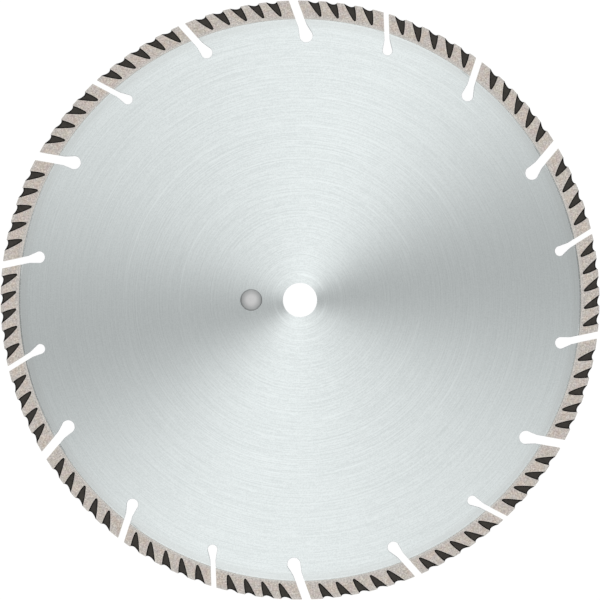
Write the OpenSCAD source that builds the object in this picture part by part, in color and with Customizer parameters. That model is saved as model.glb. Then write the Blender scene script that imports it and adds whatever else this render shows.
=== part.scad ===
// Segmented diamond blade for masonry and concrete: a slotted steel core with
// eighteen sintered segments on its rim and a knock-out plug in its drive-pin hole.
// The blade lies flat. Z is the bore axis and z = 0 is the middle of its thickness.
// The rim pattern repeats six times: a narrow, a wide and a middle slot, then again.

/* [Blade] */
// Diameter over the segments, mm
outer_diameter = 350; // [345:1:360]
// Radial height of a segment, mm
segment_height = 10.7; // [10:0.1:11.5]
// Thickness of a segment, mm
segment_thickness = 3.2; // [2.8:0.1:4]
// Thickness of the steel core, mm
core_thickness = 2.2; // [1.8:0.1:2.4]

/* [Arbor bore] */
// Diameter of the bore, mm
bore_diameter = 20; // [16:0.1:30]
// Width of the bevel round each end of the bore, mm
bore_bevel = 0.2; // [0.1:0.05:0.4]

/* [Drive-pin hole] */
// Diameter of the drive-pin hole, mm
pin_hole_diameter = 12.7; // [9:0.1:13]
// Distance from the bore's centre to the hole's centre, mm
pin_hole_offset = 28.5; // [25:0.5:40]
// Radial clearance of the plug in its hole, mm
plug_clearance = 0.03; // [0.02:0.01:0.08]
// How far the plug's faces stay below the core's faces, mm
plug_recess = 0.05; // [0.02:0.01:0.2]
// How far the plug's face falls from its middle to its edge, mm
plug_dome = 0.3; // [0.1:0.05:0.4]

/* [Slots] */
// Lean of every slot and notch from the radial direction, degrees
slot_lean = 20; // [15:1:22]
// Distance along the slot from the core's rim to the centre of its end hole, mm
slot_depth = 10.45; // [9:0.05:16]
// Gap between segments at a narrow slot, mm
narrow_gap = 3; // [2:0.1:3.5]
// Gap between segments at a middle slot, mm
middle_gap = 4; // [3:0.1:4.5]
// Gap between segments at a wide slot, mm
wide_gap = 5; // [4:0.1:5.5]
// How much the end hole's diameter exceeds the gap, mm
hole_growth = 2.8; // [2:0.1:4]
// How much wider the slot is in the core than between the segments, mm
core_relief = 0.2; // [0:0.05:0.4]
// Half angle of the taper from the slot to its end hole, degrees
taper_angle = 12; // [8:1:18]

/* [Notches] */
// Angle from one notch to the next, degrees
notch_pitch = 3.5; // [3.4:0.01:3.55]
// Depth of a notch in each face of a segment, mm
notch_depth = 0.5; // [0.2:0.05:0.8]
// Radial length of a notch, mm
notch_length = 9.1; // [8:0.1:9.3]
// Width of a notch at the blade's edge, mm
notch_width = 6.5; // [5:0.1:7]
// Radius of a notch's inner tip, mm
notch_tip_radius = 0.7; // [0.4:0.02:0.8]
// Depth of the scallop that opens a notch through the blade's edge, mm
scallop_depth = 1.25; // [0.6:0.05:1.6]

/* [Hidden] */
$fn = 180;
steel_color = [0.77, 0.79, 0.79];
bond_color = [0.76, 0.71, 0.67];
plug_color = [0.72, 0.73, 0.73];

outer_radius = outer_diameter / 2;
rim_radius = outer_radius - segment_height;
sectors = 6;
sector_angle = 360 / sectors;
slots_per_sector = 3;
segments = sectors * slots_per_sector;

// The three slots of a sector: place, gap, and the notches of the segment that follows.
slot_places = [12, 30, 52];
slot_gaps = [narrow_gap, wide_gap, middle_gap];
notch_counts = [4, 5, 5];
first_notches = [3.3, 3.8, 2.8];

// Shape of a notch: where its sides run, as shares of its width, and how each side curves.
notch_steep_end = 0.35;  // steep side at the blade's edge
notch_steep_pull = 0.04; // point that pulls the steep side
notch_slow_end = 1.3;    // slow side at the blade's edge
notch_slow_pull = 0.51;  // point that pulls the slow side
notch_slow_reach = 0.77; // share of the notch's length at which that point lies
notch_tip_turn = 140;    // angle at which the slow side leaves the round tip, degrees

// Shape of a scallop: shares of the notch's width, and of the scallop's depth.
scallop_start = 0.27;
scallop_pulls = [0.45, 0.74];
scallop_pull_depths = [1.4, 1.28];
scallop_clearance = 0.02; // how far outside the blade's edge a scallop's ends lie, mm

cut_margin = 1;       // how far a cutter runs past the face that it cuts
taper_overlap = 0.98; // share of the end hole's radius at which the slot's taper ends, inside the hole
curve_steps = 5;      // straight pieces in each curved side of a notch
dome_steps = 6;       // rings in each domed face of the plug
dome_power = 4;       // how late a face of the plug falls: it stays level in the middle

function slot_angle(i) = sector_angle * floor(i / slots_per_sector) + slot_places[i % slots_per_sector];
function slot_gap(i) = slot_gaps[i % slots_per_sector];
function segment_name(i) = str("segment_", i < 9 ? "0" : "", i + 1);

// Points of a quadratic curve from a to c, pulled towards b.
function curve3(a, b, c, n) = [
    for (k = [0 : n])
        let (t = k / n)
        (1 - t) * (1 - t) * a + 2 * t * (1 - t) * b + t * t * c
];

// Points of a cubic curve from a to d, pulled towards b and c.
function curve4(a, b, c, d, n) = [
    for (k = [0 : n])
        let (t = k / n, s = 1 - t)
        s * s * s * a + 3 * s * s * t * b + 3 * s * t * t * c + t * t * t * d
];

// Points of an arc about a centre.
function arc(centre, r, from, to, n) = [
    for (k = [0 : n])
        let (a = from + (to - from) * k / n)
        centre + r * [cos(a), sin(a)]
];

// Puts its children at a slot: origin on the core's rim, +X outwards along the slot.
module at_slot(i) {
    rotate(slot_angle(i)) translate([rim_radius, 0]) rotate(slot_lean) children();
}

// Puts its children at a notch: origin on the blade's edge, +X outwards.
module at_notch(angle) {
    rotate(angle) translate([outer_radius, 0]) children();
}

// Everything between two neighbouring slots, reaching past the rim and the core's edge.
module between_slots(i) {
    a = slot_angle(i);
    b = slot_angle(i + 1);
    inside = -segment_height / 2;
    outside = 2 * segment_height;
    function corner(angle, side, along) =
        rim_radius * [cos(angle), sin(angle)]
        + along * [cos(angle + slot_lean), sin(angle + slot_lean)]
        + side * [-sin(angle + slot_lean), cos(angle + slot_lean)];
    polygon([
        corner(a, slot_gap(i) / 2, inside),
        corner(a, slot_gap(i) / 2, outside),
        corner(b, -slot_gap(i + 1) / 2, outside),
        corner(b, -slot_gap(i + 1) / 2, inside)
    ]);
}

// Outline of a notch's recess: a leaning fin with a rounded tip, open at the blade's edge.
module notch_outline() {
    tip = [notch_tip_radius - notch_length, notch_tip_radius / 2];
    steep_start = tip + notch_tip_radius * [0, -1];
    slow_start = tip + notch_tip_radius * [cos(notch_tip_turn), sin(notch_tip_turn)];
    steep_end = [0, notch_steep_end * notch_width];
    slow_end = [0, notch_slow_end * notch_width];
    steep_pull = [steep_start.x / 2, notch_steep_pull * notch_width];
    slow_pull = [notch_slow_reach * slow_start.x, notch_slow_pull * notch_width];
    polygon(concat(
        [[cut_margin, slow_end.y + cut_margin], [cut_margin, steep_end.y]],
        curve3(steep_end, steep_pull, steep_start, curve_steps),
        arc(tip, notch_tip_radius, 270, notch_tip_turn, curve_steps),
        curve3(slow_start, slow_pull, slow_end, curve_steps)
    ));
}

// Outline of the scallop that a notch cuts into the blade's edge.
module scallop_outline() {
    from = [scallop_clearance, scallop_start * notch_width];
    to = [scallop_clearance, notch_slow_end * notch_width];
    pull = [for (k = [0, 1]) [-scallop_pull_depths[k] * scallop_depth, scallop_pulls[k] * notch_width]];
    polygon(concat(
        [[cut_margin, to.y + cut_margin], [cut_margin, from.y - cut_margin]],
        curve4(from, pull[0], pull[1], to, 2 * curve_steps)
    ));
}

// Cutter for one slot of the core: a channel that tapers out to a round end hole.
module slot_cutter(i) {
    half_width = (slot_gap(i) + core_relief) / 2;
    hole_radius = (slot_gap(i) + hole_growth) / 2;
    hole = [-slot_depth, 0];
    taper_end = hole + taper_overlap * hole_radius * [sin(taper_angle), cos(taper_angle)];
    taper_start = [taper_end.x + (taper_end.y - half_width) / tan(taper_angle), half_width];
    height = core_thickness + 2 * cut_margin;
    at_slot(i) {
        linear_extrude(height = height, center = true)
            polygon([
                taper_end,
                taper_start,
                [cut_margin, half_width],
                [cut_margin, -half_width],
                [taper_start.x, -taper_start.y],
                [taper_end.x, -taper_end.y]
            ]);
        translate(hole) cylinder(r = hole_radius, h = height, center = true);
    }
}

// Cutter for a round hole through the core with a bevel at both faces.
module bevelled_hole(radius, bevel) {
    cylinder(r = radius, h = core_thickness + 2 * cut_margin, center = true);
    for (side = [0, 1])
        mirror([0, 0, side])
            translate([0, 0, core_thickness / 2 - bevel])
                cylinder(r1 = radius, r2 = radius + 2 * bevel, h = 2 * bevel);
}

module core() {
    color(steel_color)
        difference() {
            cylinder(r = rim_radius, h = core_thickness, center = true);
            bevelled_hole(bore_diameter / 2, bore_bevel);
            translate([-pin_hole_offset, 0])
                bevelled_hole(pin_hole_diameter / 2, bore_bevel / 2);
            for (i = [0 : segments - 1])
                slot_cutter(i);
        }
}

// The ring that the segments are cut from.
module rim_ring() {
    difference() {
        circle(r = outer_radius);
        circle(r = rim_radius);
    }
}

module segment(i) {
    kind = i % slots_per_sector;
    first = slot_angle(i) + first_notches[kind];
    angles = [for (k = [0 : notch_counts[kind] - 1]) first + k * notch_pitch];
    face = segment_thickness / 2;
    color(bond_color)
        difference() {
            linear_extrude(height = segment_thickness, center = true)
                intersection() {
                    rim_ring();
                    between_slots(i);
                }
            for (angle = angles)
                at_notch(angle) {
                    linear_extrude(height = 2 * segment_thickness, center = true)
                        scallop_outline();
                    for (side = [0, 1])
                        mirror([0, 0, side])
                            translate([0, 0, face - notch_depth])
                                linear_extrude(height = notch_depth + cut_margin)
                                    notch_outline();
                }
        }
}

module knockout_plug() {
    plug_radius = pin_hole_diameter / 2 - plug_clearance;
    half_height = core_thickness / 2 - plug_recess;
    top = [
        for (k = [0 : dome_steps])
            let (r = plug_radius * sqrt(k / dome_steps))
            [r, half_height - plug_dome * pow(r / plug_radius, dome_power)]
    ];
    bottom = [for (k = [dome_steps : -1 : 0]) [top[k].x, -top[k].y]];
    color(plug_color)
        translate([-pin_hole_offset, 0])
            rotate_extrude()
                polygon(concat(top, bottom));
}

core();
for (i = [0 : segments - 1])
    segment(i);
knockout_plug();
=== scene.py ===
import math

import bmesh
import bpy
import numpy as np
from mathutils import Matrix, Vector
from mathutils.geometry import delaunay_2d_cdt


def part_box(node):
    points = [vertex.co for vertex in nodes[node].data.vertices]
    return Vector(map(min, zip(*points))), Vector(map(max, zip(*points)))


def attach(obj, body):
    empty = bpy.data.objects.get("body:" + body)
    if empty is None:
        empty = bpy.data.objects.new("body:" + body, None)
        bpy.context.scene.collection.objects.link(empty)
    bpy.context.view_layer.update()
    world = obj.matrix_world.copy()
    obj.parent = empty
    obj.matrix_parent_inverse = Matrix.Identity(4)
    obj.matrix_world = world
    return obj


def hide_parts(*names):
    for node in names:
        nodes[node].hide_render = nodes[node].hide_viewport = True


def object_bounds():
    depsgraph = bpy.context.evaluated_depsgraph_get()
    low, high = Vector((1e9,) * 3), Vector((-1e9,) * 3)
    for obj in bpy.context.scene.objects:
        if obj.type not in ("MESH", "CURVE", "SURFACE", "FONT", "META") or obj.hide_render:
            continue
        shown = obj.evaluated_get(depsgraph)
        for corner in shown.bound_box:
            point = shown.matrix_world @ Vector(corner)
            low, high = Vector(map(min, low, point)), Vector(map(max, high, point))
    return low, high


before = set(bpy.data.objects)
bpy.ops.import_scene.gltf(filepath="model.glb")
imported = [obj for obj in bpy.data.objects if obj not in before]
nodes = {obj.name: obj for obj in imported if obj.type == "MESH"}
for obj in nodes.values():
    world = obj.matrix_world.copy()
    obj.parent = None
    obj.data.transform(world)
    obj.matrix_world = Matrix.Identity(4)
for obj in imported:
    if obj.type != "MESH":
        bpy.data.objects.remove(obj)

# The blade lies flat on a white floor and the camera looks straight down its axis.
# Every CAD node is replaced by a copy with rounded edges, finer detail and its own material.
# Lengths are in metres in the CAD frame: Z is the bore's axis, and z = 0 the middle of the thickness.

MM = 0.001
cad_low, cad_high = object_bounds()
segment_names = sorted(name for name in nodes if name.startswith("segment_"))


def radius_of(point):
    """Distance of a point from the blade's axis."""
    return math.hypot(point[0], point[1])


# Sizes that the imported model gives.
core_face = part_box("core")[1].z
segment_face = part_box("segment_01")[1].z
rim_radius = max(radius_of(v.co) for v in nodes["core"].data.vertices)
outer_radius = max(radius_of(v.co) for name in segment_names for v in nodes[name].data.vertices)
plug_low, plug_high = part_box("knockout_plug")
plug_centre = (plug_low + plug_high) / 2
plug_radius = (plug_high.x - plug_low.x) / 2

# Sizes of the details that are added here.
CORE_EDGE = 0.12 * MM        # rounding of the core's edges at the slots
WELD_WIDTH = 0.9 * MM        # width of the slope along the core's rim, where the weld pulls it in
WELD_SINK = 0.12 * MM        # depth of that slope at the rim
SEGMENT_EDGE = 0.08 * MM     # rounding of the segments' edges
FOOT_EDGE = 0.40 * MM        # rounding of the segments' edges along the weld
HIGHLIGHT_BAND = 0.45 * MM        # band of painted highlight along the edges of a segment's face
SHADE_BAND = 0.8 * MM        # band of painted shade along the edges of a notch's floor
PLUG_EDGE = 0.12 * MM        # rounding of the plug's edge
PLUG_DOME = 0.3 * MM         # fall of the plug's face from its middle to its edge
PLUG_FALL = 4                # how late the plug's face falls: it stays level in the middle
PLUG_RINGS = 20              # rings of faces in the plug's face
PLUG_EDGE_RINGS = 4          # rings of faces in its rounded edge
PLUG_SPOKES = 96
BAND_STEP = 0.4 * MM         # spacing of the points that follow the edges of a face
ROUNDING_STEPS = 2           # faces across a rounded edge
SHARP = math.radians(60)     # edges that turn by more than this are rounded
CREASE = math.radians(40)    # edges that turn by more than this are shaded as creases
FLAT = math.radians(0.5)     # faces that turn by less than this are joined into one
TINY = 0.01 * MM             # lengths below this count as nothing


def colour(red, green, blue):
    """A screen colour from 0 to 255 as the linear colour that a shader takes."""
    def linear(value):
        share = value / 255
        return share / 12.92 if share <= 0.04045 else ((share + 0.055) / 1.055) ** 2.4
    return linear(red), linear(green), linear(blue), 1.0


# Ground steel: the two ends of its texture, its brightest marks, and its tone beside the weld, which also
# stands in for painted shade along the rim.
STEEL_DARK = (0.563, 0.602, 0.602, 1.0)
STEEL_LIGHT = (0.718, 0.761, 0.761, 1.0)
STEEL_BRIGHT = (0.755, 0.80, 0.80, 1.0)
STEEL_WELD_AND_SHADE = (0.54, 0.56, 0.552, 1.0)
# Cut walls of the slots.
CUT_PALE = (0.46, 0.48, 0.49, 1.0)
CUT_DARK = (0.24, 0.25, 0.27, 1.0)
# Metal bond: its four cloud colours, its plain tone at the weld and the edge, its painted edge highlight,
# and its details.
BOND_ROSE = colour(200, 186.5, 182.5)
BOND_SALMON = colour(202.1, 188.7, 177.6)
BOND_ASH = colour(195.1, 188.7, 184.8)
BOND_SAND = colour(197.4, 190.9, 179.9)
BOND_GREY = colour(197, 193, 189)
BOND_HIGHLIGHT = colour(212, 208, 202)
BOND_PIT = colour(130, 121, 112)
BOND_GRIT = colour(238, 233, 222)
# Black coat of the notches: on the open floor, and with painted shade close to the walls.
COAT = colour(63, 60, 56)
COAT_SHADE = colour(22, 19, 17)
# Painted shading of the plug's face from its middle outwards: lit in the middle, shaded towards its edge,
# darkest at its rim.
PLUG_MIDDLE = (0.575, 0.575, 0.575, 1.0)
PLUG_SIDE_SHADE = (0.36, 0.37, 0.37, 1.0)
PLUG_RIM_SHADE = (0.24, 0.25, 0.25, 1.0)
PLUG_HIGHLIGHT_SHIFT = (0.08 * MM, 0.22 * MM)  # place of the palest point of the plug's painted shading, beside its centre

# Marks of the grinding wheel.
GRIND_CENTRE = -1.7 * MM      # Y of the point that the grinding marks turn round
PAINTED_WEDGE_SIDE = math.radians(7)  # direction of the two opposite sides where those marks are painted faint, as in the shade of the studio's grey wedges
PAINTED_WEDGE_FADE = 0.42              # how much of their contrast they lose there
# Its clearest rings: radius, width, and how much brighter they are.
RING_MARKS = ((14.9 * MM, 0.85 * MM, 0.9), (24.3 * MM, 0.8 * MM, 0.4), (67.2 * MM, 0.5 * MM, 0.35),
              (70.1 * MM, 0.5 * MM, 0.5), (101.8 * MM, 0.5 * MM, 0.55), (103.0 * MM, 0.4 * MM, 0.3))

# ---------------------------------------------------------------- shader helpers


class Shader:
    """The node tree of a material or a world, and short calls that add nodes to it and link them."""

    def __init__(self, owner):
        owner.use_nodes = True
        self.owner = owner
        self.tree = owner.node_tree

    def feed(self, socket, value):
        if isinstance(value, bpy.types.NodeSocket):
            self.tree.links.new(value, socket)
        else:
            socket.default_value = value

    def paint(self, **sockets):
        """Sets or links sockets of the Principled shader; Base_Color is its socket Base Color."""
        surface = self.tree.nodes["Principled BSDF"]
        for name, value in sockets.items():
            self.feed(surface.inputs[name.replace("_", " ")], value)

    def node(self, kind, inputs=(), output=0, **settings):
        made = self.tree.nodes.new(kind)
        for key, value in settings.items():
            setattr(made, key, value)
        for key, value in dict(inputs).items():
            self.feed(made.inputs[key], value)
        return made.outputs[output]

    def math(self, operation, *values):
        return self.node("ShaderNodeMath", dict(enumerate(values)), operation=operation)

    def mix(self, *shares):
        """Sum of values, each with its own weight: mix((a, 0.5), (b, 0.3))."""
        total = 0.0
        for value, weight in shares:
            total = self.math("MULTIPLY_ADD", value, weight, total)
        return total

    def place(self):
        """The point being shaded, in the blade's own frame, in metres."""
        return self.node("ShaderNodeTexCoord", output="Object")

    def split(self, vector):
        made = self.node("ShaderNodeSeparateXYZ", {0: vector}).node
        return made.outputs[0], made.outputs[1], made.outputs[2]

    def join(self, x, y, z):
        return self.node("ShaderNodeCombineXYZ", {0: x, 1: y, 2: z})

    def length(self, x, y):
        return self.math("SQRT", self.math("MULTIPLY_ADD", x, x, self.math("MULTIPLY", y, y)))

    def noise(self, vector, size, detail=2.0, roughness=0.5):
        """Noise from 0 to 1 whose patches are about size across."""
        inputs = {"Vector": vector, "Scale": 1 / size, "Detail": detail, "Roughness": roughness}
        return self.node("ShaderNodeTexNoise", inputs, "Fac")

    def specks(self, vector, size):
        """Distance from the nearest of many scattered points, which are about size apart."""
        inputs = {"Vector": vector, "Scale": 1 / size}
        return self.node("ShaderNodeTexVoronoi", inputs, "Distance")

    def ramp(self, value, low, high, to_low=0.0, to_high=1.0):
        inputs = {0: value, 1: low, 2: high, 3: to_low, 4: to_high}
        return self.node("ShaderNodeMapRange", inputs, interpolation_type="SMOOTHSTEP")

    def blend(self, share, a, b):
        return self.node("ShaderNodeMix", {0: share, 6: a, 7: b}, 2, data_type="RGBA")

    def bump(self, height, depth):
        """Normal of a surface that height, from 0 to 1, lifts by up to depth."""
        return self.node("ShaderNodeBump", {"Height": height, "Distance": depth})


# ---------------------------------------------------------------- materials


def new_material(name, **constants):
    """The shader of a new material, with constants set on its Principled node."""
    s = Shader(bpy.data.materials.new(name))
    s.paint(**constants)
    return s


def ground_steel():
    """Steel ground in circles: fine arcs and rings round the bore, and a darker zone at the weld, partly
    its own tone and partly painted shade along the rim.

    Its highlights are drawn out across the marks. So each place shows how bright the studio is in
    the place's own direction from the bore, and the studio's open sides show as grey wedges.
    """
    s = new_material("ground_steel", Metallic=1.0, Anisotropic=0.85, Anisotropic_Rotation=0.25)
    place = s.place()
    x, y, _ = s.split(place)
    radius = s.length(x, y)
    along_x = s.math("DIVIDE", x, radius)
    along_y = s.math("DIVIDE", y, radius)

    def arcs(width, angle, detail=2.0, roughness=0.5):
        """Noise drawn out round the axis into arcs of a width in metres and an angle in radians."""
        vector = s.join(s.math("DIVIDE", radius, width), s.math("DIVIDE", along_x, angle),
                        s.math("DIVIDE", along_y, angle))
        return s.noise(vector, 1.0, detail, roughness)

    scratches = arcs(0.55 * MM, 0.10)
    sweeps = arcs(0.8 * MM, 0.5)
    rings = arcs(0.9 * MM, 40.0, 3.0, 0.7)
    grain = s.noise(place, 0.7 * MM, 2.0, 0.7)
    clouds = s.noise(place, 14 * MM, 3.0)
    # The rings are strongest round the bore and weakest towards the rim.
    ripple = s.math("ADD", s.ramp(radius, 32 * MM, 12 * MM, 0.55, 0.85),
                    s.ramp(radius, 105 * MM, 130 * MM, 0.0, -0.22))
    uneven_rings = s.math("SUBTRACT", rings, 0.5)
    tone = s.mix((scratches, 0.28), (sweeps, 0.22), (grain, 0.50), (uneven_rings, ripple))
    # Painted shade: the marks lose contrast towards the two opposite sides where the studio's open sides
    # leave grey wedges.
    toward = s.mix((along_x, math.cos(PAINTED_WEDGE_SIDE)), (along_y, math.sin(PAINTED_WEDGE_SIDE)))
    painted_fade = s.math("MULTIPLY", s.math("POWER", s.math("ABSOLUTE", toward), 3.0), PAINTED_WEDGE_FADE)
    tone = s.math("ADD", tone, s.math("MULTIPLY", s.math("SUBTRACT", 0.5, tone), painted_fade))
    shade = s.blend(s.ramp(tone, 0.36, 0.64), STEEL_DARK, STEEL_LIGHT)
    for at, width, strength in RING_MARKS:
        off = s.math("ABSOLUTE", s.math("SUBTRACT", radius, at))
        broken = s.ramp(s.mix((sweeps, 0.6), (scratches, 0.4)), 0.40, 0.62, 0.15 * strength, strength)
        shade = s.blend(s.math("MULTIPLY", s.ramp(off, width, 0.2 * width), broken), shade, STEEL_BRIGHT)
    shade = s.blend(s.ramp(radius, 34 * MM, 12 * MM, 0.0, 0.12), shade, STEEL_BRIGHT)
    ragged = s.math("MULTIPLY_ADD", clouds, 0.4 * MM, radius)
    near_weld = s.ramp(ragged, rim_radius - 7 * MM, rim_radius - 1.5 * MM, 0.0, 0.35)
    shade = s.blend(near_weld, shade, STEEL_WELD_AND_SHADE)
    # Painted shade: the last millimetre before the rim is darkened, partly the weld's own tone and partly
    # shade along the rim beside the segments.
    weld_and_shade = s.ramp(ragged, rim_radius - 1.0 * MM, rim_radius, 0.0, 0.25)
    s.paint(Base_Color=s.blend(weld_and_shade, shade, STEEL_WELD_AND_SHADE))
    # Bright marks are rougher, which makes them fainter in the grey wedges.
    polish = s.ramp(tone, 0.36, 0.64, 0.34, 0.42)
    smooth = s.ramp(radius, rim_radius - 1.2 * WELD_WIDTH, rim_radius - 0.8 * WELD_WIDTH, 0.0, -0.12)
    s.paint(Roughness=s.math("ADD", polish, smooth))
    along_marks = s.join(s.math("SUBTRACT", GRIND_CENTRE, y), x, 0.0)
    s.paint(Tangent=s.node("ShaderNodeVectorMath", {0: along_marks}, operation="NORMALIZE"))
    s.paint(Normal=s.bump(s.mix((scratches, 0.6), (rings, 0.4)), 0.001 * MM))
    return s.owner


def cut_steel():
    """Walls and edges of the core's slots: darker steel with the upright marks of the cutting beam."""
    s = new_material("cut_steel", Metallic=1.0)
    x, y, z = s.split(s.place())
    streaks = s.noise(s.join(x, y, s.math("MULTIPLY", z, 0.05)), 0.25 * MM, 2.0, 0.6)
    drag = s.noise(s.join(x, y, s.math("MULTIPLY", z, 0.4)), 0.9 * MM, 2.0)
    share = s.ramp(s.mix((streaks, 0.6), (drag, 0.4)), 0.35, 0.65)
    s.paint(Base_Color=s.blend(share, CUT_DARK, CUT_PALE))
    s.paint(Roughness=s.ramp(streaks, 0.3, 0.7, 0.62, 0.42))
    s.paint(Normal=s.bump(streaks, 0.02 * MM))
    return s.owner


def sintered_bond():
    """Metal bond: pinkish beige clouds, diamond grit and pits, greyer at the weld and the edges, with a
    painted highlight along the edges of its faces.
    """
    s = new_material("sintered_bond", Metallic=0.0, Specular_IOR_Level=0.3)
    place = s.place()
    x, y, _ = s.split(place)
    radius = s.length(x, y)
    clouds = s.noise(place, 3.2 * MM, 1.0)
    elsewhere = s.node("ShaderNodeVectorMath", {0: place, 1: (0.5, 0.5, 0.5)}, operation="ADD")
    drift = s.noise(elsewhere, 3.2 * MM, 1.0)  # as clouds, but in other places
    grain = s.noise(place, 0.9 * MM, 3.0, 0.75)
    grit = s.ramp(s.specks(place, 1.0 * MM), 0.34, 0.16)
    pits = s.ramp(s.noise(place, 0.85 * MM, 1.0), 0.38, 0.28)
    inward = s.node("ShaderNodeAttribute", output="Fac", attribute_name="inward")
    # Painted highlight: a lighter, smoother band along the edges of the segment's faces.
    edge_highlight = s.ramp(s.math("MULTIPLY_ADD", grain, 0.5, inward), 0.9, 0.2)
    ragged = s.math("MULTIPLY_ADD", clouds, 0.8 * MM, radius)
    foot = s.ramp(ragged, rim_radius + 3.2 * MM, rim_radius + 1.0 * MM)
    outside = s.ramp(ragged, outer_radius - 2.2 * MM, outer_radius, 0.0, 0.8)
    yellow = s.ramp(drift, 0.36, 0.64)
    red = s.ramp(clouds, 0.36, 0.64)
    shade = s.blend(red, s.blend(yellow, BOND_ASH, BOND_SAND), s.blend(yellow, BOND_ROSE, BOND_SALMON))
    shade = s.blend(s.math("MAXIMUM", foot, outside), shade, BOND_GREY)
    shade = s.blend(s.ramp(grain, 0.56, 0.30, 0.0, 0.50), shade, BOND_PIT)
    shade = s.blend(s.math("MULTIPLY", pits, 0.5), shade, BOND_PIT)
    shade = s.blend(s.ramp(grain, 0.49, 0.70, 0.0, 0.66), shade, BOND_GRIT)
    shade = s.blend(s.math("MULTIPLY", grit, 0.33), shade, BOND_GRIT)
    s.paint(Base_Color=s.blend(s.math("MULTIPLY", edge_highlight, 0.6), shade, BOND_HIGHLIGHT))
    s.paint(Roughness=s.mix((grain, 0.25), (edge_highlight, -0.15), (0.62, 1.0)))
    s.paint(Normal=s.bump(s.mix((grain, 0.5), (grit, 0.3), (pits, -0.4)), 0.05 * MM))
    return s.owner


def notch_coat():
    """Black coat in the notches: fine grain, with painted shade towards the walls."""
    s = new_material("notch_coat", Metallic=0.0, Specular_IOR_Level=0.1)
    place = s.place()
    grain = s.noise(place, 0.35 * MM, 3.0, 0.6)
    clouds = s.noise(place, 1.5 * MM)
    inward = s.node("ShaderNodeAttribute", output="Fac", attribute_name="inward")
    # Painted shade: the coat darkens towards the walls of the notch.
    open_floor = s.ramp(s.mix((inward, 1.0), (clouds, 0.8)), 0.6, 1.6)
    s.paint(Base_Color=s.blend(open_floor, COAT_SHADE, COAT))
    s.paint(Roughness=s.ramp(grain, 0.3, 0.7, 0.5, 0.75))
    s.paint(Normal=s.bump(grain, 0.03 * MM))
    return s.owner


def satin_plug():
    """Pressed steel plug: satin, with painted shading: pale in the middle, darker to its edge, dark at its
    rim.
    """
    s = new_material("satin_plug", Metallic=1.0)
    place = s.place()
    x, y, _ = s.split(place)
    pale_x = plug_centre.x + PLUG_HIGHLIGHT_SHIFT[0]
    pale_y = plug_centre.y + PLUG_HIGHLIGHT_SHIFT[1]
    radius = s.length(s.math("SUBTRACT", x, pale_x), s.math("SUBTRACT", y, pale_y))
    grain = s.noise(place, 0.5 * MM, 3.0, 0.6)
    clouds = s.noise(place, 2.5 * MM)
    uneven = s.mix((radius, 1.0), (clouds, 0.6 * MM), (-0.3 * MM, 1.0))
    # Painted shade: the face darkens from a lit middle towards its edge, and most at its rim, as light
    # falls on the dome and into the gap round it.
    shade = s.blend(s.ramp(uneven, 0.3 * plug_radius, 0.92 * plug_radius), PLUG_MIDDLE, PLUG_SIDE_SHADE)
    shade = s.blend(s.ramp(uneven, 0.86 * plug_radius, 0.97 * plug_radius), shade, PLUG_RIM_SHADE)
    s.paint(Base_Color=shade)
    s.paint(Roughness=s.ramp(grain, 0.3, 0.7, 0.40, 0.52))
    s.paint(Normal=s.bump(grain, 0.008 * MM))
    return s.owner


# ---------------------------------------------------------------- pieces

CUT = 1                # material of the core's slots; its faces have material 0
BARE, COATED = 0, 1    # materials of a segment


def solid_of(name):
    """The shape of a CAD node with its seams closed and its flat faces joined into one."""
    mesh = nodes[name].data.copy()
    for attribute in [a for a in mesh.attributes if a.name == "custom_normal"]:
        mesh.attributes.remove(attribute)
    solid = bmesh.new()
    solid.from_mesh(mesh)
    bpy.data.meshes.remove(mesh)
    bmesh.ops.remove_doubles(solid, verts=solid.verts, dist=TINY / 100)
    bmesh.ops.dissolve_limit(solid, angle_limit=FLAT, verts=solid.verts, edges=solid.edges)
    return solid


def sharp_edges(solid):
    """The sharp edges that point outwards, not those in a corner such as round a notch's floor."""
    return [e for e in solid.edges if e.is_manifold and e.calc_face_angle_signed() > SHARP]


def round_edges(solid, edges, width):
    """Rounds edges by width, and gives the new faces."""
    made = bmesh.ops.bevel(solid, geom=edges, offset=width, segments=ROUNDING_STEPS, profile=0.5,
                           affect="EDGES", material=-1)
    return made["faces"]


def is_level(face):
    """Whether a face lies flat, as the faces of the core and the segments do."""
    return abs(face.normal.z) > 0.9999


def distance_to_outline(points, outline):
    """Distance from each point to the nearest side of a closed outline."""
    side = np.roll(outline, -1, axis=0) - outline
    away = points[:, None] - outline[None]
    share = np.clip((away * side).sum(2) / (side ** 2).sum(1), 0, 1)
    return np.linalg.norm(away - share[..., None] * side, axis=2).min(1)


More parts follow.
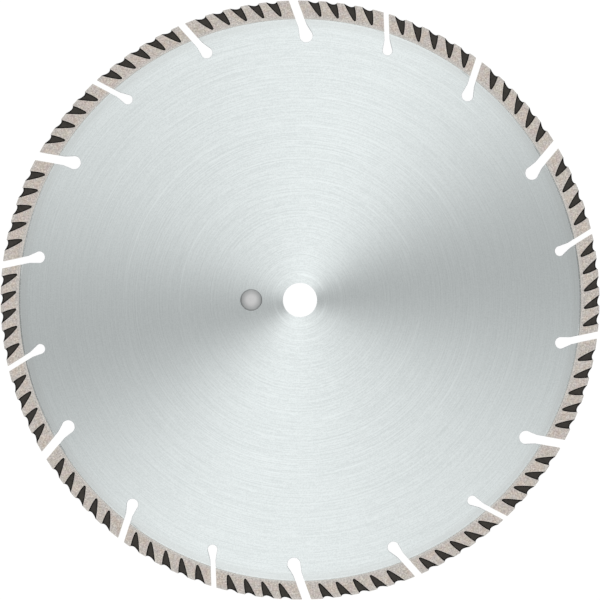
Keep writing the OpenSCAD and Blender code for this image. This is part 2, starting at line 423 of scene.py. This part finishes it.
def follow_edges(solid, face, inward, band):
    """Fills a level face with triangles whose points follow its edges at a distance of band.

    The layer inward is 0 on the face's outline and 1 on the points inside.
    """
    corners = [loop.vert for loop in face.loops]
    height = corners[0].co.z
    upward = face.normal.z > 0
    material_index = face.material_index
    outline = np.array([v.co[:2] for v in corners])
    side = np.roll(outline, -1, axis=0) - outline
    length = np.linalg.norm(side, axis=1)
    inner_normal = np.stack([-side[:, 1], side[:, 0]], 1) / length[:, None] * (1 if upward else -1)
    inside = []
    for start, along, across, reach in zip(outline, side, inner_normal, length):
        steps = max(1, round(reach / BAND_STEP))
        inside += [start + along * (k + 0.5) / steps + across * band for k in range(steps)]
    inside = np.array(inside)
    # Points that lie nearer to another side are left out, and so are points close to each other.
    inside = inside[distance_to_outline(inside, outline) > 0.97 * band]
    apart = []
    for point in inside:
        lately_kept = apart[-12:]
        if all(np.abs(point - other).max() > BAND_STEP / 3 for other in lately_kept):
            apart.append(point)
    # The triangles are made in millimetres, because the call's tolerance is a length.
    flat = [Vector(p) / MM for p in [*outline, *apart]]
    ring = list(range(len(corners)))
    only_inside, tolerance = 1, 1e-5
    filled = delaunay_2d_cdt(flat, [], [ring], only_inside, tolerance)
    points, triangles, origins = filled[0], filled[2], filled[3]
    solid.faces.remove(face)
    made = []
    for point, origin in zip(points, origins):
        known = [i for i in origin if i < len(corners)]
        if known:
            made.append(corners[known[0]])
            continue
        vertex = solid.verts.new((point.x * MM, point.y * MM, height))
        vertex[inward] = 1.0
        made.append(vertex)
    for triangle in triangles:
        a, b, c = (made[i] for i in triangle)
        turn = (b.co - a.co).cross(c.co - a.co).z
        if len({a, b, c}) == 3 and abs(turn) > 0:
            new = solid.faces.new((a, b, c) if (turn > 0) == upward else (c, b, a))
            new.material_index = material_index


def finish_piece(name, solid, node, body, slot, *materials):
    """Makes an object of a solid that stands for a CAD node and rides with its body."""
    solid.normal_update()
    for face in solid.faces:
        face.smooth = not is_level(face)
    for edge in solid.edges:
        edge.smooth = edge.is_manifold and edge.calc_face_angle() < CREASE
    mesh = bpy.data.meshes.new(name)
    solid.to_mesh(mesh)
    solid.free()
    piece = bpy.data.objects.new(name, mesh)
    bpy.context.scene.collection.objects.link(piece)
    for material in materials:
        mesh.materials.append(material)
    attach(piece, body)
    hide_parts(node)
    return piece


def core(steel, cut):
    """The ground disc: cut slots with rounded edges, and a slope down to the weld at its rim."""
    solid = solid_of("core")

    def at_rim(edge):
        return all(radius_of(v.co) > rim_radius - TINY for v in edge.verts)

    def is_upright(edge):
        return abs(edge.verts[0].co.z - edge.verts[1].co.z) > TINY

    edges = [e for e in sharp_edges(solid) if not is_upright(e)]
    round_edges(solid, [e for e in edges if at_rim(e)], WELD_WIDTH)
    # The rounding at the rim becomes the flat slope of the weld.
    for vertex in solid.verts:
        reach = (radius_of(vertex.co) - (rim_radius - WELD_WIDTH)) / WELD_WIDTH
        if reach > 0 and abs(vertex.co.z) < core_face - TINY:
            vertex.co.z = math.copysign(core_face - WELD_SINK * reach, vertex.co.z)
    edges = [e for e in sharp_edges(solid) if not is_upright(e)]
    for face in round_edges(solid, [e for e in edges if not at_rim(e)], CORE_EDGE):
        face.material_index = CUT
    solid.normal_update()
    # The bore and the pin hole lie well inside this radius, and keep the ground steel.
    past_holes = 2 * plug_radius - plug_centre.x
    for face in solid.faces:
        nearest = min(radius_of(v.co) for v in face.verts)
        is_wall = abs(face.normal.z) < 0.1
        if is_wall and past_holes < nearest < rim_radius - TINY:
            face.material_index = CUT
    return finish_piece("ground_core", solid, "core", "blade", "core_steel", steel, cut)


def segment(name, bond, coat):
    """A segment: rounded edges, black notches, and bands of painted highlight along the edges of faces and
    of painted shade along notch floors.
    """
    solid = solid_of(name)
    inward = solid.verts.layers.float.new("inward")
    for face in solid.faces:
        radii = [radius_of(v.co) for v in face.verts]
        on_rim = min(radii) < rim_radius + TINY
        on_edge = min(radii) > outer_radius - TINY
        on_land = is_level(face) and abs(face.verts[0].co.z) > segment_face - TINY
        face.material_index = BARE if on_land or on_rim or on_edge else COATED

    def at_weld(edge):
        on_one_side = edge.verts[0].co.z * edge.verts[1].co.z > 0
        return on_one_side and max(radius_of(v.co) for v in edge.verts) < rim_radius + TINY

    def touches_coat(face):
        return any(beside.material_index == COATED for edge in face.edges for beside in edge.link_faces)

    round_edges(solid, [e for e in sharp_edges(solid) if at_weld(e)], FOOT_EDGE)
    rounded = round_edges(solid, sharp_edges(solid), SEGMENT_EDGE)
    # The coat reaches over the rounded edges of the notches, one row of faces at a time.
    for face in rounded:
        face.material_index = BARE
    for _ in range(ROUNDING_STEPS):
        for face in [f for f in rounded if touches_coat(f)]:
            face.material_index = COATED
    solid.normal_update()
    wide_faces = [f for f in solid.faces if is_level(f) and len(f.verts) > 4]
    for face in wide_faces:
        on_land = abs(face.verts[0].co.z) > segment_face - TINY
        follow_edges(solid, face, inward, HIGHLIGHT_BAND if on_land else SHADE_BAND)
    return finish_piece(name + "_sintered", solid, name, "blade", "diamond_bond", bond, coat)


def plug(satin):
    """The knock-out plug: a turned disc with domed faces and rounded edges."""
    def face_height(r):
        return plug_high.z - PLUG_DOME * (r / plug_radius) ** PLUG_FALL

    face_radius = plug_radius - PLUG_EDGE
    radii = [face_radius * math.sqrt(k / PLUG_RINGS) for k in range(1, PLUG_RINGS + 1)]
    profile = [(r, face_height(r)) for r in radii]
    edge_height = face_height(face_radius) - PLUG_EDGE
    for k in range(1, PLUG_EDGE_RINGS + 1):
        turn = math.pi / 2 * k / PLUG_EDGE_RINGS
        profile.append((face_radius + PLUG_EDGE * math.sin(turn), edge_height + PLUG_EDGE * math.cos(turn)))
    profile += [(r, -z) for r, z in reversed(profile)]

    solid = bmesh.new()
    turns = [2 * math.pi * k / PLUG_SPOKES for k in range(PLUG_SPOKES)]

    def ring(r, z):
        return [solid.verts.new((plug_centre.x + r * math.cos(a), plug_centre.y + r * math.sin(a), z))
                for a in turns]

    rings = [ring(r, z) for r, z in profile]
    top = solid.verts.new((plug_centre.x, plug_centre.y, face_height(0)))
    bottom = solid.verts.new((plug_centre.x, plug_centre.y, -face_height(0)))
    for k in range(PLUG_SPOKES):
        after = (k + 1) % PLUG_SPOKES
        solid.faces.new((top, rings[0][k], rings[0][after]))
        solid.faces.new((bottom, rings[-1][after], rings[-1][k]))
        for upper, lower in zip(rings, rings[1:]):
            solid.faces.new((upper[k], lower[k], lower[after], upper[after]))
    return finish_piece("domed_plug", solid, "knockout_plug", "plug", "plug_steel", satin)


# ---------------------------------------------------------------- floor, light and camera

FLOOR_SIZE = 6.0             # half of the floor's width
FLOOR_GAP = 0.02 * MM        # how far the floor lies below the blade
FLOOR_GLOW = 0.93            # the floor's own light
FLOOR_GREY = (0.12, 0.12, 0.12, 1.0)
WHITE = (1.0, 1.0, 1.0, 1.0)
STUDIO_LIGHT = 1.38          # light from the closed sides
# Each open side of the studio: its direction, how narrow it is, and how much light it lacks.
OPEN_SIDES = (math.radians(9.5), 6.4, 1.19), (math.radians(-48), 6.0, 0.28)
LENS = 135                   # focal length, mm
VIEW_MARGIN = 1.0014         # half width of the picture, as a share of the blade's radius


def floor():
    """A plain white floor with a glow of its own, so that it is white in the narrow slots too."""
    height = cad_low.z - FLOOR_GAP
    corners = [(-1, -1), (1, -1), (1, 1), (-1, 1)]
    mesh = bpy.data.meshes.new("floor")
    mesh.from_pydata([(x * FLOOR_SIZE, y * FLOOR_SIZE, height) for x, y in corners], [], [(0, 1, 2, 3)])
    s = new_material("floor", Base_Color=FLOOR_GREY, Roughness=0.9, Specular_IOR_Level=0.0,
                     Emission_Color=WHITE, Emission_Strength=FLOOR_GLOW)
    mesh.materials.append(s.owner)
    obj = bpy.data.objects.new("floor", mesh)
    bpy.context.scene.collection.objects.link(obj)


def studio():
    """Soft white surroundings, darker where two opposite sides stand open between the softboxes."""
    world = bpy.data.worlds.new("studio")
    bpy.context.scene.world = world
    s = Shader(world)
    x, y, z = s.split(s.node("ShaderNodeTexCoord", output="Generated"))
    flat = s.length(x, y)
    # Light is missing only to the side: not straight above, and not at the horizon or below.
    aside = s.math("MULTIPLY", s.ramp(flat, 0.0, 0.35, 0.0, -1.0), s.ramp(z, 0.02, 0.25))
    light = STUDIO_LIGHT
    for side, narrowness, lack in OPEN_SIDES:
        toward = s.mix((x, math.cos(side)), (y, math.sin(side)))
        share = s.math("DIVIDE", s.math("ABSOLUTE", toward), s.math("MAXIMUM", flat, 0.001))
        lobe = s.math("MULTIPLY", s.math("POWER", share, narrowness), lack)
        light = s.math("MULTIPLY_ADD", aside, lobe, light)
    background = s.tree.nodes["Background"]
    s.feed(background.inputs["Color"], WHITE)
    s.feed(background.inputs["Strength"], light)


def camera():
    """Looks straight down on the blade, which fills the picture from edge to edge."""
    data = bpy.data.cameras.new("camera")
    data.lens = LENS
    obj = bpy.data.objects.new("camera", data)
    distance = outer_radius * VIEW_MARGIN * data.lens / (data.sensor_width / 2)
    obj.location = (0, 0, segment_face + distance)
    bpy.context.scene.collection.objects.link(obj)
    bpy.context.scene.camera = obj


core(ground_steel(), cut_steel())
bond, coat = sintered_bond(), notch_coat()
for name in segment_names:
    segment(name, bond, coat)
plug(satin_plug())
floor()
studio()
camera()
bpy.context.scene.view_settings.view_transform = "Standard"
